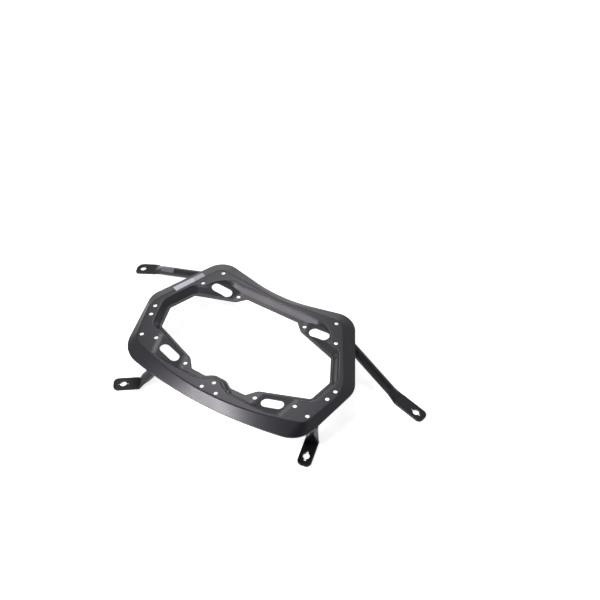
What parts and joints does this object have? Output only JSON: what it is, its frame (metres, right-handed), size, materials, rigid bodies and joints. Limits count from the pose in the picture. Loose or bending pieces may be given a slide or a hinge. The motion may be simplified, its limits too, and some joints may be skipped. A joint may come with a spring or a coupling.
{
  "type": "pannier frame",
  "caption": "Side-case carrier for a motorcycle: a pressed steel ring plate with a large opening, ramped slots and bolt holes, on tube arms with flattened, keyed ends.",
  "frame": {"origin": "centre of the rectangle of the four pad holes, on the pads' top face", "axes": "+X along the ring's long side, +Y to the side with the hollowed edge, +Z out of the face that carries the case, away from the arms' feet"},
  "size_m": [0.578, 0.2772, 0.0617],
  "materials": {
    "plate": "satin black powder coat",
    "arms": "semi-gloss black powder coat"
  },
  "bodies": {
    "root": {"face_plate": "plate", "long_arm_left": "arms", "long_arm_right": "arms", "short_arm_left": "arms", "short_arm_right": "arms"}
  },
  "joints": []
}
